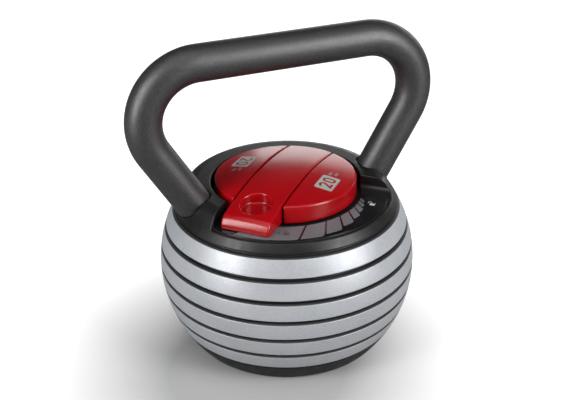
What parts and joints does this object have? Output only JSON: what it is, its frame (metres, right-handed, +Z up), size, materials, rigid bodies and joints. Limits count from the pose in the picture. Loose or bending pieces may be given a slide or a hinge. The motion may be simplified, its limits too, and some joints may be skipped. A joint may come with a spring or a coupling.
{
  "type": "adjustable kettlebell",
  "caption": "Adjustable kettlebell: round dished plates stacked into a ball under a bent tube handle, with a quarter-turn lever dial on top that locks them together.",
  "frame": {"origin": "centre of the ball's foot, on the surface that it stands on", "axes": "+Z up, +X along the handle's top bar towards its right foot, +Y away from the side where the lever is stored locked"},
  "size_m": [0.2856, 0.235, 0.2921],
  "materials": {
    "silver_iron": "satin silver paint over cast iron, faintly mottled",
    "grip_steel": "fine-textured charcoal powder coat with a slight sparkle",
    "black_plastic": "satin black moulding",
    "red_plastic": "semi-gloss red moulding",
    "zinc_steel": "zinc-plated steel",
    "foot_rubber": "matt rubber",
    "scale_print": "silver print of the scale, the padlock and the number badges"
  },
  "bodies": {
    "bell": {"handle_tube": "grip_steel", "leg_anchor_left": "zinc_steel", "leg_anchor_right": "zinc_steel", "anchor_bolt_left_1": "zinc_steel", "anchor_bolt_left_2": "zinc_steel", "anchor_bolt_right_1": "zinc_steel", "anchor_bolt_right_2": "zinc_steel", "chassis_plate": "zinc_steel", "top_cover": "black_plastic", "cover_screw_1": "zinc_steel", "cover_screw_2": "zinc_steel", "cover_screw_3": "zinc_steel", "cover_screw_4": "zinc_steel", "thrust_washer": "zinc_steel", "weight_plate_1": "silver_iron", "weight_plate_2": "silver_iron", "weight_plate_3": "silver_iron", "weight_plate_4": "silver_iron", "weight_plate_5": "silver_iron", "weight_plate_6": "silver_iron", "base_tray": "black_plastic", "base_lock_plate": "zinc_steel", "base_screw_1": "zinc_steel", "base_screw_2": "zinc_steel", "base_screw_3": "zinc_steel", "base_screw_4": "zinc_steel", "foot_ring": "foot_rubber"},
    "dial": {"lever_bar": "red_plastic", "dial_segment_left": "red_plastic", "dial_segment_right": "red_plastic", "dial_carrier": "black_plastic", "drive_hub": "zinc_steel", "shaft_bolt": "zinc_steel", "shaft_washer": "zinc_steel", "lock_shaft": "zinc_steel", "dial_screw_1": "zinc_steel", "dial_screw_2": "zinc_steel", "dial_screw_3": "zinc_steel", "dial_screw_4": "zinc_steel", "dial_screw_5": "zinc_steel", "dial_screw_6": "zinc_steel"}
  },
  "joints": [
    {"name": "dial_turn", "type": "hinge", "parent": "bell", "child": "dial", "pos_m": [0, 0, 0.15], "axis": [0, 0, 1], "range_deg": [0, 90]}
  ]
}
